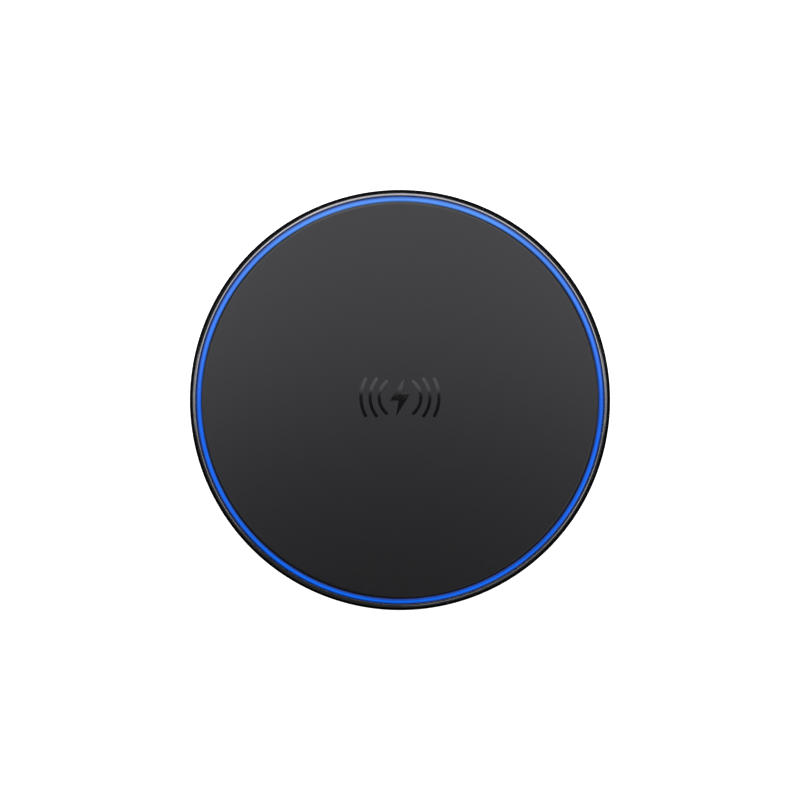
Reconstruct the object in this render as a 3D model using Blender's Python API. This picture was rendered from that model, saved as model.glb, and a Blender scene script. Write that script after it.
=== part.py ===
"""Round wireless charging pad for phones: a flat black disc with a lit ring round its top plate.

The frame is in metres with +Z up. The origin is on the surface that the pad stands on, below the
pad's centre. The front edge is at -Y, and the back edge, with the power socket, is at +Y.

From the bottom up the pad is a rubber foot ring, a dished base with screw posts, a circuit board
held between those posts and the bosses of the top cover, a ferrite disc with the charging coil on
it, a clear light guide that the board's lamps shine into, a bezel ring and the top cover.
"""

import math

import bmesh
import bpy
from mathutils import Matrix, Vector

MM = 0.001

# Driving sizes
BODY_RADIUS = 50.0 * MM
BODY_HEIGHT = 8.0 * MM
FOOT_PROUD = 0.5 * MM  # how far the foot ring stands below the base
LAYER_GAP = 0.1 * MM  # left between faces that lie on each other
FIT_GAP = 0.15 * MM  # left between rings that sit in each other
RING_STEPS = 72  # sides of the large turned pieces
SMALL_STEPS = 16  # sides of posts, holes and screws

# Base
FLOOR_TOP = 1.7 * MM
FLOOR_EDGE_RADIUS = 46.0 * MM  # where the flat underside turns up into the side
SIDE_START = 3.2 * MM  # height at which the side becomes upright
SEAT_HEIGHT = 5.8 * MM  # the step inside the rim that the bezel ring stands on
WALL_INNER_RADIUS = 48.4 * MM
LIP_INNER_RADIUS = 49.4 * MM
LIP_TOP = 7.4 * MM
GROOVE_INNER = 36.0 * MM
GROOVE_OUTER = 42.0 * MM
GROOVE_ROOF = 1.2 * MM
GROOVE_FLOOR_TOP = 2.1 * MM  # the floor is raised over the groove
GROOVE_FLOOR_MARGIN = 1.2 * MM
LABEL_RECESS_RADIUS = 15.0 * MM
LABEL_RECESS_ROOF = FOOT_PROUD + 0.25 * MM

# Fasteners and the posts and bosses that they join
SCREW_CIRCLE = 39.0 * MM
SCREW_ANGLES = (45, 135, 225, 315)
POST_RADIUS = 3.2 * MM
BOSS_RADIUS = 2.5 * MM
HEAD_RADIUS = 1.8 * MM
HEAD_HEIGHT = 0.85 * MM
HEAD_BEARING = 2.2 * MM  # height of the head's upper face
COUNTERBORE_RADIUS = 2.1 * MM
SHANK_RADIUS = 0.9 * MM
SHANK_END = 6.7 * MM
POST_HOLE_RADIUS = 1.15 * MM
BOARD_HOLE_RADIUS = 1.25 * MM
PILOT_RADIUS = 1.05 * MM
PILOT_END = 7.1 * MM

# Circuit board
BOARD_RADIUS = 47.9 * MM
BOARD_BOTTOM = 3.2 * MM
BOARD_TOP = 4.2 * MM
PARTS_BOTTOM = BOARD_TOP + LAYER_GAP  # where everything on the board stands

# Top cover, light guide and bezel ring
COVER_RADIUS = 47.1 * MM
COVER_BOTTOM = 6.5 * MM
COVER_FILLET = 0.6 * MM
GUIDE_INNER = 47.4 * MM
GUIDE_OUTER = WALL_INNER_RADIUS + 0.05 * MM
GUIDE_FLANGE_INNER = 46.0 * MM
GUIDE_BOTTOM = SEAT_HEIGHT + LAYER_GAP
GUIDE_SHOULDER = 7.45 * MM
GUIDE_CROWN = 0.18 * MM
BEZEL_INNER = 48.6 * MM
BEZEL_OUTER = LIP_INNER_RADIUS - LAYER_GAP
BEZEL_TOP = 7.8 * MM
BEZEL_INNER_SLOPE = (0.22 * MM, 0.40 * MM)
BEZEL_OUTER_CHAMFER = 0.15 * MM

# Power socket, a USB-C receptacle sunk into a notch of the board
PORT_HEIGHT = 3.95 * MM
PORT_WIDTH = 8.94 * MM
PORT_THICKNESS = 3.16 * MM
PORT_WALL = 0.3 * MM
PORT_FRONT = 49.2 * MM
PORT_DEPTH = 6.9 * MM
PORT_CLEARANCE = 0.2 * MM
NOTCH_CLEARANCE = 0.33 * MM
TONGUE_WIDTH = 6.7 * MM
TONGUE_THICKNESS = 0.7 * MM
TONGUE_RECESS = 1.0 * MM
INSULATOR_DEPTH = 1.6 * MM

# Charging coil, its film and the ferrite below them
FERRITE_RADIUS = 25.5 * MM
FERRITE_HOLE = 9.4 * MM
FERRITE_TOP = PARTS_BOTTOM + 0.8 * MM
FILM_RADIUS = 25.0 * MM
FILM_HOLE = 9.8 * MM
FILM_BOTTOM = FERRITE_TOP + 0.05 * MM
FILM_TOP = FILM_BOTTOM + 0.15 * MM
LEAD_SLOT_WIDTH = 1.8 * MM
WIRE_RADIUS = 0.5 * MM
COIL_HEIGHT = FILM_TOP + LAYER_GAP + WIRE_RADIUS
LEAD_HEIGHT = PARTS_BOTTOM + WIRE_RADIUS
COIL_INNER = 10.8 * MM
COIL_PITCH = 1.12 * MM
COIL_START_DEG = 120
COIL_TURN_STEPS = 26
COIL_END_DEG = 9 * 360 + 325

# Lamps of the lit ring
LAMP_COUNT = 8
LAMP_CIRCLE = 47.0 * MM
LAMP_SIZE = (1.4 * MM, 3.0 * MM, 0.7 * MM)


def material(name, colour, roughness, metallic=0.0, emission=0.0):
    """A Principled BSDF material of one plain colour."""
    made = bpy.data.materials.new(name)
    made.use_nodes = True
    made.diffuse_color = (*colour, 1.0)
    shader = made.node_tree.nodes["Principled BSDF"]
    shader.inputs["Base Color"].default_value = (*colour, 1.0)
    shader.inputs["Roughness"].default_value = roughness
    shader.inputs["Metallic"].default_value = metallic
    shader.inputs["Emission Color"].default_value = (*colour, 1.0)
    shader.inputs["Emission Strength"].default_value = emission
    return made


def link(name, data, finish=None):
    """A new object in the scene. finish is its material."""
    made = bpy.data.objects.new(name, data)
    bpy.context.scene.collection.objects.link(made)
    if finish is not None:
        data.materials.clear()
        data.materials.append(finish)
    return made


def mesh_from(name, bm):
    """Turns a bmesh into a mesh whose faces point outwards and whose curved faces look round."""
    bmesh.ops.remove_doubles(bm, verts=bm.verts, dist=0.001 * MM)
    bmesh.ops.recalc_face_normals(bm, faces=bm.faces)
    mesh = bpy.data.meshes.new(name)
    bm.to_mesh(mesh)
    bm.free()
    mesh.shade_smooth()
    mesh.set_sharp_from_angle(angle=math.radians(30))
    return mesh


def arc(centre_r, centre_z, radius_r, radius_z, start_deg, end_deg, pieces):
    """Points of an elliptical arc in an (r, z) outline, with both ends."""
    found = []
    for i in range(pieces + 1):
        a = math.radians(start_deg + (end_deg - start_deg) * i / pieces)
        found.append((centre_r + radius_r * math.cos(a), centre_z + radius_z * math.sin(a)))
    return found


def turned_mesh(name, outline, steps, is_ring):
    """Spins an outline of (r, z) points round Z. A ring's outline is closed; a disc's is open and
    starts and ends on the axis."""
    bm = bmesh.new()
    verts = [bm.verts.new((r, 0, z)) for r, z in outline]
    pairs = list(zip(verts, verts[1:]))
    if is_ring:
        pairs.append((verts[-1], verts[0]))
    edges = [bm.edges.new(pair) for pair in pairs]
    bmesh.ops.spin(bm, geom=verts + edges, cent=(0, 0, 0), axis=(0, 0, 1), angle=math.tau,
                   steps=steps, use_merge=True)
    return mesh_from(name, bm)


def turned(name, outline, finish, is_ring=True, steps=RING_STEPS):
    return link(name, turned_mesh(name, outline, steps, is_ring), finish)


def box_mesh(name, size, bevel=0.0):
    """A box centred in X and Y that stands on its own origin."""
    bm = bmesh.new()
    bmesh.ops.create_cube(bm, size=1.0)
    bmesh.ops.scale(bm, vec=size, verts=bm.verts)
    bmesh.ops.translate(bm, vec=(0, 0, size[2] / 2), verts=bm.verts)
    if bevel:
        bmesh.ops.bevel(bm, geom=bm.edges, offset=bevel, segments=1, affect="EDGES")
    return mesh_from(name, bm)


def add_cylinder(bm, radius, low, high, centre, steps=SMALL_STEPS):
    """Adds an upright cylinder from height low to height high to a bmesh."""
    place = Matrix.Translation((centre[0], centre[1], (low + high) / 2))
    bmesh.ops.create_cone(bm, cap_ends=True, segments=steps, radius1=radius, radius2=radius,
                          depth=high - low, matrix=place)


def cylinders_mesh(name, radius, low, high):
    """One upright cylinder at each screw's place."""
    bm = bmesh.new()
    for centre in screw_places():
        add_cylinder(bm, radius, low, high, centre)
    return mesh_from(name, bm)


def slot_prism_mesh(name, width, thickness, low, high, arc_steps=8):
    """A bar along Y from low to high whose section is a slot shape, centred on X and Z."""
    end = thickness / 2
    reach = width / 2 - end
    outline = []
    for side, start in ((1, -90), (-1, 90)):
        for i in range(arc_steps + 1):
            a = math.radians(start + 180 * i / arc_steps)
            outline.append((side * reach + end * math.cos(a), low, end * math.sin(a)))
    bm = bmesh.new()
    face = bm.faces.new([bm.verts.new(p) for p in outline])
    made = bmesh.ops.extrude_face_region(bm, geom=[face])
    moved = [v for v in made["geom"] if isinstance(v, bmesh.types.BMVert)]
    bmesh.ops.translate(bm, vec=(0, high - low, 0), verts=moved)
    return mesh_from(name, bm)


def helper(name, mesh):
    """An object that only serves a Boolean."""
    made = link(name, mesh)
    made.hide_render = True
    made.display_type = "WIRE"
    return made


def boolean(target, operand, operation):
    modifier = target.modifiers.new(operand.name, "BOOLEAN")
    modifier.operation = operation
    modifier.object = operand


def baked(target):
    """The mesh that an object's modifiers make. The object itself is removed."""
    graph = bpy.context.evaluated_depsgraph_get()
    mesh = bpy.data.meshes.new_from_object(target.evaluated_get(graph))
    bpy.data.objects.remove(target)
    return mesh


def polar(radius, degrees):
    a = math.radians(degrees)
    return radius * math.cos(a), radius * math.sin(a)


def screw_places():
    return [polar(SCREW_CIRCLE, degrees) for degrees in SCREW_ANGLES]


def make_base(finish):
    """The dished base: underside with a label recess and a foot groove, an upturned side, and a
    rim with a step inside it for the bezel ring."""
    lip_fillet = BODY_RADIUS - LIP_INNER_RADIUS
    outline = [
        (0, LABEL_RECESS_ROOF),
        (LABEL_RECESS_RADIUS, LABEL_RECESS_ROOF),
        (LABEL_RECESS_RADIUS, FOOT_PROUD),
        (GROOVE_INNER, FOOT_PROUD),
        (GROOVE_INNER, GROOVE_ROOF),
        (GROOVE_OUTER, GROOVE_ROOF),
        (GROOVE_OUTER, FOOT_PROUD),
    ]
    outline += arc(FLOOR_EDGE_RADIUS, SIDE_START, BODY_RADIUS - FLOOR_EDGE_RADIUS,
                   SIDE_START - FOOT_PROUD, -90, 0, 4)
    outline += arc(LIP_INNER_RADIUS, LIP_TOP - lip_fillet, lip_fillet, lip_fillet, 0, 90, 3)
    outline += [(LIP_INNER_RADIUS, SEAT_HEIGHT), (WALL_INNER_RADIUS, SEAT_HEIGHT)]
    corner = 2.0 * MM  # of the inside corner between wall and floor
    outline += arc(WALL_INNER_RADIUS - corner, GROOVE_FLOOR_TOP + 1.5 * MM, corner, 1.5 * MM, 0, -90, 2)
    outline += [
        (GROOVE_INNER - GROOVE_FLOOR_MARGIN, GROOVE_FLOOR_TOP),
        (GROOVE_INNER - GROOVE_FLOOR_MARGIN, FLOOR_TOP),
        (0, FLOOR_TOP),
    ]
    base = turned("base_housing", outline, finish, is_ring=False)
    post_foot = GROOVE_FLOOR_TOP - 0.3 * MM
    posts = cylinders_mesh("screw_posts", POST_RADIUS, post_foot, BOARD_BOTTOM - LAYER_GAP)
    boolean(base, helper("screw_posts", posts), "UNION")
    counterbore_roof = HEAD_BEARING + LAYER_GAP
    counterbores = cylinders_mesh("counterbores", COUNTERBORE_RADIUS, 0, counterbore_roof)
    boolean(base, helper("counterbores", counterbores), "DIFFERENCE")
    holes = cylinders_mesh("post_holes", POST_HOLE_RADIUS, 0, BOARD_TOP)
    boolean(base, helper("post_holes", holes), "DIFFERENCE")
    opening = slot_prism_mesh("port_opening", PORT_WIDTH + 2 * PORT_CLEARANCE,
                              PORT_THICKNESS + 2 * PORT_CLEARANCE, 45 * MM, 52 * MM)
    opening = helper("port_opening", opening)
    opening.location.z = PORT_HEIGHT
    boolean(base, opening, "DIFFERENCE")


def make_foot_ring(finish):
    """The rubber ring glued into the base's groove, with its lower edges rounded."""
    inner = GROOVE_INNER + FIT_GAP
    outer = GROOVE_OUTER - FIT_GAP
    rounding = 0.25 * MM
    top = GROOVE_ROOF - LAYER_GAP
    outline = arc(inner + rounding, rounding, rounding, rounding, 180, 270, 2)
    outline += arc(outer - rounding, rounding, rounding, rounding, 270, 360, 2)
    outline += [(outer, top), (inner, top)]
    turned("foot_ring", outline, finish)


def make_label(finish):
    """The blank label in the recess at the middle of the underside."""
    radius = LABEL_RECESS_RADIUS - 0.2 * MM
    bottom = LABEL_RECESS_ROOF - 0.2 * MM
    top = LABEL_RECESS_ROOF - 0.05 * MM
    turned("rating_label", [(0, bottom), (radius, bottom), (radius, top), (0, top)], finish,
           is_ring=False, steps=48)


def make_cover(finish):
    """The flat top plate with its rounded edge, and the four bosses under it."""
    outline = [(0, COVER_BOTTOM), (COVER_RADIUS, COVER_BOTTOM)]
    outline += arc(COVER_RADIUS - COVER_FILLET, BODY_HEIGHT - COVER_FILLET, COVER_FILLET,
                   COVER_FILLET, 0, 90, 4)
    outline += [(0, BODY_HEIGHT)]
    cover = turned("top_cover", outline, finish, is_ring=False)
    bosses = cylinders_mesh("cover_bosses", BOSS_RADIUS, PARTS_BOTTOM, COVER_BOTTOM + 0.3 * MM)
    boolean(cover, helper("cover_bosses", bosses), "UNION")
    pilots = cylinders_mesh("pilot_holes", PILOT_RADIUS, BOARD_BOTTOM, PILOT_END)
    boolean(cover, helper("pilot_holes", pilots), "DIFFERENCE")


def make_light_guide(finish):
    """The clear ring: a flange over the lamps and an upright that shows round the cover."""
    middle = (GUIDE_INNER + GUIDE_OUTER) / 2
    half = (GUIDE_OUTER - GUIDE_INNER) / 2
    flange_top = COVER_BOTTOM - LAYER_GAP
    outline = [(GUIDE_FLANGE_INNER, GUIDE_BOTTOM), (GUIDE_OUTER, GUIDE_BOTTOM)]
    outline += arc(middle, GUIDE_SHOULDER, half, GUIDE_CROWN, 0, 180, 4)
    outline += [(GUIDE_INNER, flange_top), (GUIDE_FLANGE_INNER, flange_top)]
    turned("light_guide", outline, finish)


def make_bezel(finish):
    """The glossy ring round the light guide, sloped inwards and lightly chamfered outside."""
    slope_r, slope_z = BEZEL_INNER_SLOPE
    outline = [
        (BEZEL_INNER, GUIDE_BOTTOM),
        (BEZEL_OUTER, GUIDE_BOTTOM),
        (BEZEL_OUTER, BEZEL_TOP - BEZEL_OUTER_CHAMFER),
        (BEZEL_OUTER - BEZEL_OUTER_CHAMFER, BEZEL_TOP),
        (BEZEL_INNER + slope_r, BEZEL_TOP),
        (BEZEL_INNER, BEZEL_TOP - slope_z),
    ]
    turned("bezel_ring", outline, finish)


def make_screws(finish):
    """Four small pan-head screws, driven from below through the base into the cover's bosses."""
    head_bottom = HEAD_BEARING - HEAD_HEIGHT
    edge = 0.2 * MM
    outline = [
        (0, head_bottom),
        (HEAD_RADIUS - edge, head_bottom),
        (HEAD_RADIUS, head_bottom + edge),
        (HEAD_RADIUS, HEAD_BEARING),
        (SHANK_RADIUS, HEAD_BEARING),
        (SHANK_RADIUS, SHANK_END - SHANK_RADIUS),
        (0, SHANK_END),
    ]
    screw = turned("screw_master", outline, finish, is_ring=False, steps=SMALL_STEPS)
    recess_depth = 0.5 * MM
    for i in range(2):
        bar = helper(f"recess_{i}", box_mesh("recess", (2.2 * MM, 0.55 * MM, 2 * recess_depth)))
        bar.location.z = head_bottom - recess_depth
        bar.rotation_euler.z = math.radians(90 * i)
        boolean(screw, bar, "DIFFERENCE")
    shared = baked(screw)
    for number, (x, y) in enumerate(screw_places(), 1):
        link(f"housing_screw_{number}", shared).location = (x, y, 0)


def make_board(finish):
    """The round circuit board, notched for the socket and drilled for the screws."""
    outline = [(0, BOARD_BOTTOM), (BOARD_RADIUS, BOARD_BOTTOM), (BOARD_RADIUS, BOARD_TOP), (0, BOARD_TOP)]
    board = turned("main_board", outline, finish, is_ring=False)
    holes = cylinders_mesh("board_holes", BOARD_HOLE_RADIUS, BOARD_BOTTOM - MM, BOARD_TOP + MM)
    boolean(board, helper("board_holes", holes), "DIFFERENCE")
    notch_back = PORT_FRONT - PORT_DEPTH - NOTCH_CLEARANCE
    notch_length = 10 * MM
    size = (PORT_WIDTH + 2 * NOTCH_CLEARANCE, notch_length, 3 * MM)
    notch = helper("socket_notch", box_mesh("socket_notch", size))
    notch.location = (0, notch_back + notch_length / 2, BOARD_BOTTOM - MM)
    boolean(board, notch, "DIFFERENCE")


def make_socket(metal, plastic):
    """The power socket: a slot-shaped steel shell with four solder tabs, and inside it the
    insulator with the contact tongue."""
    back = PORT_FRONT - PORT_DEPTH
    tube = slot_prism_mesh("usb_shell", PORT_WIDTH, PORT_THICKNESS, back, PORT_FRONT)
    shell = link("usb_shell", tube, metal)
    shell.location.z = PORT_HEIGHT
    tab_size = (1.7 * MM, 1.1 * MM, 0.25 * MM)
    tab_reach = 5.05 * MM
    tabs = bmesh.new()
    for side in (-1, 1):
        for y in (back + 1.4 * MM, back + 4.4 * MM):
            place = Matrix.Translation((side * tab_reach, y, PARTS_BOTTOM + tab_size[2] / 2))
            made = bmesh.ops.create_cube(tabs, size=1.0)
            bmesh.ops.scale(tabs, vec=tab_size, verts=made["verts"])
            bmesh.ops.transform(tabs, matrix=place, verts=made["verts"])
    boolean(shell, helper("socket_tabs", mesh_from("socket_tabs", tabs)), "UNION")
    bore = slot_prism_mesh("socket_bore", PORT_WIDTH - 2 * PORT_WALL, PORT_THICKNESS - 2 * PORT_WALL,
                           back - MM, PORT_FRONT + MM)
    bore = helper("socket_bore", bore)
    bore.location.z = PORT_HEIGHT
    boolean(shell, bore, "DIFFERENCE")

    inset = PORT_WALL + 0.12 * MM
    block = slot_prism_mesh("usb_tongue", PORT_WIDTH - 2 * inset, PORT_THICKNESS - 2 * inset,
                            back + 0.1 * MM, back + INSULATOR_DEPTH)
    block = link("usb_tongue", block, plastic)
    block.location.z = PORT_HEIGHT
    tongue_back = back + INSULATOR_DEPTH - 0.5 * MM
    tongue_length = PORT_FRONT - TONGUE_RECESS - tongue_back
    blade = helper("tongue_blade", box_mesh("tongue_blade", (TONGUE_WIDTH, tongue_length, TONGUE_THICKNESS)))
    blade.location = (0, tongue_back + tongue_length / 2, PORT_HEIGHT - TONGUE_THICKNESS / 2)
    boolean(block, blade, "UNION")


def make_slotted_disc(name, outer, inner, bottom, top, finish):
    """A flat ring with a slot out along +X for the coil's inner lead."""
    disc = turned(name, [(inner, bottom), (outer, bottom), (outer, top), (inner, top)], finish, steps=48)
    slot = helper(f"{name}_slot", box_mesh(f"{name}_slot", (outer, LEAD_SLOT_WIDTH, 4 * MM)))
    slot.location = (inner / 2 + outer / 2, 0, bottom - 2 * MM)
    boolean(disc, slot, "DIFFERENCE")


def smooth_through(points, pieces):
    """Points of a Catmull-Rom curve through points, pieces to each stretch."""
    found = []
    padded = [points[0] * 2 - points[1], *points, points[-1] * 2 - points[-2]]
    for a, b, c, d in zip(padded, padded[1:], padded[2:], padded[3:]):
        for i in range(pieces):
            t = i / pieces
            found.append(0.5 * (2 * b + (c - a) * t + (2 * a - 5 * b + 4 * c - d) * t * t
                                + (3 * b - a - 3 * c + d) * t ** 3))
    return [*found, points[-1]]


def coil_path():
    """The wire's centreline: from its pad in under the turns, up to the innermost turn, outwards
    turn by turn, and off the outermost turn down to the second pad."""
    under = ((31, 0), (25, 0), (18, 0), (12, 0), (9.6, 0.3))
    lead_in = [Vector((x * MM, y * MM, LEAD_HEIGHT)) for x, y in under]
    rise = COIL_HEIGHT - LEAD_HEIGHT
    for degrees, radius, share in ((14, 7.9, 0.05), (38, 8.1, 0.25), (66, 9.0, 0.65), (94, 10.1, 0.95)):
        lead_in.append(Vector((*polar(radius * MM, degrees), LEAD_HEIGHT + rise * share)))
    turns = []
    steps = round((COIL_END_DEG - COIL_START_DEG) / 360 * COIL_TURN_STEPS)
    for i in range(steps + 1):
        degrees = COIL_START_DEG + (COIL_END_DEG - COIL_START_DEG) * i / steps
        radius = COIL_INNER + COIL_PITCH * (degrees - COIL_START_DEG) / 360
        turns.append(Vector((*polar(radius, degrees), COIL_HEIGHT)))
    over = ((20.6, -8.6, 1), (23.2, -6.3, 1), (25.8, -5.3, 1), (28.4, -5, 0.3), (31, -5, 0))
    lead_out = [Vector((x * MM, y * MM, LEAD_HEIGHT + rise * share)) for x, y, share in over]
    inner = smooth_through([*lead_in, turns[0]], 3)
    outer = smooth_through([turns[-1], *lead_out], 3)
    return inner[:-1] + turns[:-1] + outer


def make_coil(finish):
    curve = bpy.data.curves.new("charging_coil", "CURVE")
    curve.dimensions = "3D"
    curve.bevel_depth = WIRE_RADIUS
    curve.bevel_resolution = 1
    curve.use_fill_caps = True
    path = coil_path()
    spline = curve.splines.new("POLY")
    spline.points.add(len(path) - 1)
    for point, place in zip(spline.points, path):
        point.co = (*place, 1.0)
    link("charging_coil", curve, finish)


def make_thermistor(finish):
    """The bead in the middle of the coil that senses the cover's heat, on a narrow stem."""
    stem, bead = 0.5 * MM, 1.1 * MM
    bead_centre = COVER_BOTTOM - 0.2 * MM - bead
    outline = [(0, PARTS_BOTTOM), (stem, PARTS_BOTTOM)]
    outline += arc(0, bead_centre, bead, bead, -60, 90, 5)
    turned("thermistor", outline, finish, is_ring=False, steps=SMALL_STEPS)


def stand_on_board(name, mesh, place, finish, turn_deg=0.0):
    """Puts a component on the board, with its middle at place."""
    made = link(name, mesh, finish)
    made.location = (*place, PARTS_BOTTOM)
    made.rotation_euler.z = math.radians(turn_deg)


def make_components(chip, ceramic, inductor, lamp):
    """Everything soldered to the top of the board, apart from the socket and the coil."""
    edge = 0.1 * MM
    controller = box_mesh("controller_chip", (5 * MM, 5 * MM, 0.9 * MM), edge)
    stand_on_board("controller_chip", controller, (-13.5 * MM, 33 * MM), chip, 45)
    switch = box_mesh("power_switch", (3.3 * MM, 3.3 * MM, 0.9 * MM), edge)
    for number, place in enumerate(((11 * MM, 32.5 * MM), (17.5 * MM, 30 * MM)), 1):
        stand_on_board(f"power_switch_{number}", switch, place, chip, -25)
    choke = box_mesh("input_inductor", (4.2 * MM, 4.2 * MM, 2.0 * MM), 0.4 * MM)
    stand_on_board("input_inductor", choke, (0, 34 * MM), inductor)
    bulk = box_mesh("input_capacitor", (1.6 * MM, 3.2 * MM, 1.2 * MM), edge)
    for number, x in enumerate((-6.5 * MM, 6.5 * MM), 1):
        stand_on_board(f"input_capacitor_{number}", bulk, (x, 38.5 * MM), ceramic)
    resonant = box_mesh("resonant_capacitor", (3.2 * MM, 2.5 * MM, 1.9 * MM), edge)
    for number, degrees in enumerate((-15, -5, 5, 15), 1):
        stand_on_board(f"resonant_capacitor_{number}", resonant, polar(37 * MM, degrees), ceramic, degrees)
    led = box_mesh("ring_led", LAMP_SIZE, edge)
    for number in range(LAMP_COUNT):
        degrees = 360 * (number + 0.5) / LAMP_COUNT
        stand_on_board(f"ring_led_{number + 1}", led, polar(LAMP_CIRCLE, degrees), lamp, degrees)


def main():
    for old in list(bpy.data.objects):
        bpy.data.objects.remove(old)
    black = material("matte black casing", (0.012, 0.012, 0.013), 0.55)
    gloss = material("dark glossy trim", (0.09, 0.09, 0.095), 0.18, metallic=0.9)
    plate = material("soft matte plate", (0.030, 0.030, 0.032), 0.50)
    guide = material("blue lit light guide", (0.010, 0.150, 0.800), 0.25, emission=1.0)
    rubber = material("black silicone rubber", (0.018, 0.018, 0.019), 0.80)
    paper = material("blank label", (0.055, 0.055, 0.058), 0.45)
    steel = material("plated steel", (0.55, 0.55, 0.56), 0.30, metallic=1.0)
    screw_steel = material("blackened steel", (0.10, 0.10, 0.11), 0.35, metallic=1.0)
    board = material("green circuit board", (0.010, 0.090, 0.040), 0.35)
    chip = material("chip resin", (0.015, 0.015, 0.016), 0.45)
    ceramic = material("capacitor ceramic", (0.36, 0.22, 0.12), 0.45)
    ferrite = material("ferrite", (0.045, 0.045, 0.048), 0.60)
    film = material("amber film", (0.55, 0.25, 0.03), 0.30)
    copper = material("enamelled copper", (0.72, 0.28, 0.12), 0.30, metallic=1.0)
    lamp = material("lamp resin", (0.75, 0.76, 0.70), 0.30)

    make_base(black)
    make_foot_ring(rubber)
    make_label(paper)
    make_cover(plate)
    make_light_guide(guide)
    make_bezel(gloss)
    make_screws(screw_steel)
    make_board(board)
    make_socket(steel, chip)
    make_slotted_disc("ferrite_shield", FERRITE_RADIUS, FERRITE_HOLE, PARTS_BOTTOM, FERRITE_TOP, ferrite)
    make_slotted_disc("coil_film", FILM_RADIUS, FILM_HOLE, FILM_BOTTOM, FILM_TOP, film)
    make_coil(copper)
    make_thermistor(chip)
    make_components(chip, ceramic, ferrite, lamp)


main()
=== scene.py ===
"""Looks of the round wireless charging pad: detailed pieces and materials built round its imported
model, with a floor, soft studio light and a camera straight above it. The pieces' lengths are in
millimetres until a mesh is made, and the stage's are in metres. The pad's front is at -Y and its
socket at +Y."""

import math

import bmesh
import bpy
from mathutils import Matrix, Vector


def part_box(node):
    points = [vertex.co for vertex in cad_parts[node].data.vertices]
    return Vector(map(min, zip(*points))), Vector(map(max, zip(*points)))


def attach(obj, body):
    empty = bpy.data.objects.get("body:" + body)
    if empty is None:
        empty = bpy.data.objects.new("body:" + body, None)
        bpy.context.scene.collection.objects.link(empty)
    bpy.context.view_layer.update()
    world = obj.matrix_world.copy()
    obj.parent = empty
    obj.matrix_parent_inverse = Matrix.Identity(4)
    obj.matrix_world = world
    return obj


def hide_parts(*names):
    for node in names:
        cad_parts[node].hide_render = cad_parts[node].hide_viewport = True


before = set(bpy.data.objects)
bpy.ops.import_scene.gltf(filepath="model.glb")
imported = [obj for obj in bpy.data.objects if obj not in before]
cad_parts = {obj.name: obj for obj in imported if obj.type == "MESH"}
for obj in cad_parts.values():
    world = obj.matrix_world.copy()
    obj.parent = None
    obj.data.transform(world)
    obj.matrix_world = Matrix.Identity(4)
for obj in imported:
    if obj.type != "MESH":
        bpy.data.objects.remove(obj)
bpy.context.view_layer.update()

MM = 0.001


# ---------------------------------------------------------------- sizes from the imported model
def span(node):
    """A node's box as (lowest, highest) corners, in millimetres."""
    low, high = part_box(node)
    return low / MM, high / MM


def middle(node):
    low, high = span(node)
    return (low + high) / 2


BASE_LOW, BASE_HIGH = span("base_housing")
COVER_LOW, COVER_HIGH = span("top_cover")
GUIDE_LOW, GUIDE_HIGH = span("light_guide")
BEZEL_LOW, BEZEL_HIGH = span("bezel_ring")
LABEL_LOW, LABEL_HIGH = span("rating_label")
BOARD_LOW, BOARD_HIGH = span("main_board")
SHELL_LOW, SHELL_HIGH = span("usb_shell")
FOOT_HIGH = span("foot_ring")[1]
FILM_HIGH = span("coil_film")[1]
SEAT_ON_BOARD = span("ferrite_shield")[0].z  # where the board's parts stand, just above it
SCREWS = [middle(f"housing_screw_{n}").xy for n in (1, 2, 3, 4)]

# Sizes that the boxes don't give.
GROOVE_INNER, GROOVE_OUTER = 36.0, 42.0  # the foot's groove in the base
PRINT_PROUD = 0.015  # how far the gloss print stands above the plate
GUIDE_INNER, BEZEL_INNER = 47.2, 48.53
LAMP_COUNT = 8
WIRE_RADIUS = 0.5
LEAD_END, LEAD_ROWS = 31.0, (0, -5)  # where the coil's leads end on the board: x, and each one's y
SHELL_HALF = (SHELL_HIGH.z - SHELL_LOW.z) / 2  # half the height of the socket's shell
SHELL_MIDDLE = SHELL_LOW.z + SHELL_HALF
SHELL_REACH = 4.47 - SHELL_HALF  # from the shell's middle to where its round ends start
SHELL_WALL = 0.3

# The band of light in the guide: its middle's radius and its half width. Both change by so much at
# the back, a painted reflection of the glow in the plate's rounded edge, and by the opposite at the
# front, and the radius also changes at the right and the left.
BAND_RADIUS, BAND_HALF_WIDTH = 47.76, 0.385
BAND_BACK_REFLECTION_SHIFT, BAND_BACK_REFLECTION_WIDER, BAND_RIGHT_SHIFT = -0.14, 0.07, 0.055

SMOOTH_STEPS = 288  # sides of the large turned pieces
SMALL_STEPS = 40  # sides of posts, bosses and screws
SOCKET_STEPS = 96
BODY, METAL, GLASS = 0, 1, 2  # material numbers of the blocks that a part is made of


# ---------------------------------------------------------------- meshes
def rounded(corners, pieces=5):
    """Outline points from corners (r, z) or (r, z, fillet). Each fillet gets an arc, with a close
    point on either side that keeps the flat faces flat when they are shaded smooth."""
    found = []
    count = len(corners)
    for i, corner in enumerate(corners):
        here = Vector(corner[:2])
        if len(corner) < 3:
            found.append(here)
            continue
        back = (Vector(corners[i - 1][:2]) - here).normalized()
        on = (Vector(corners[(i + 1) % count][:2]) - here).normalized()
        half = back.angle(on) / 2
        fillet = corner[2]
        run = fillet / math.tan(half)
        centre = here + (back + on).normalized() * fillet / math.sin(half)
        start, end = here + back * run - centre, here + on * run - centre
        turn = start.angle(end)
        support = fillet * 0.12
        found.append(centre + start + back * support)
        for k in range(pieces + 1):
            t = k / pieces
            spoke = start * math.sin((1 - t) * turn) + end * math.sin(t * turn)
            found.append(centre + spoke / math.sin(turn))
        found.append(centre + end + on * support)
    return found


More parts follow.
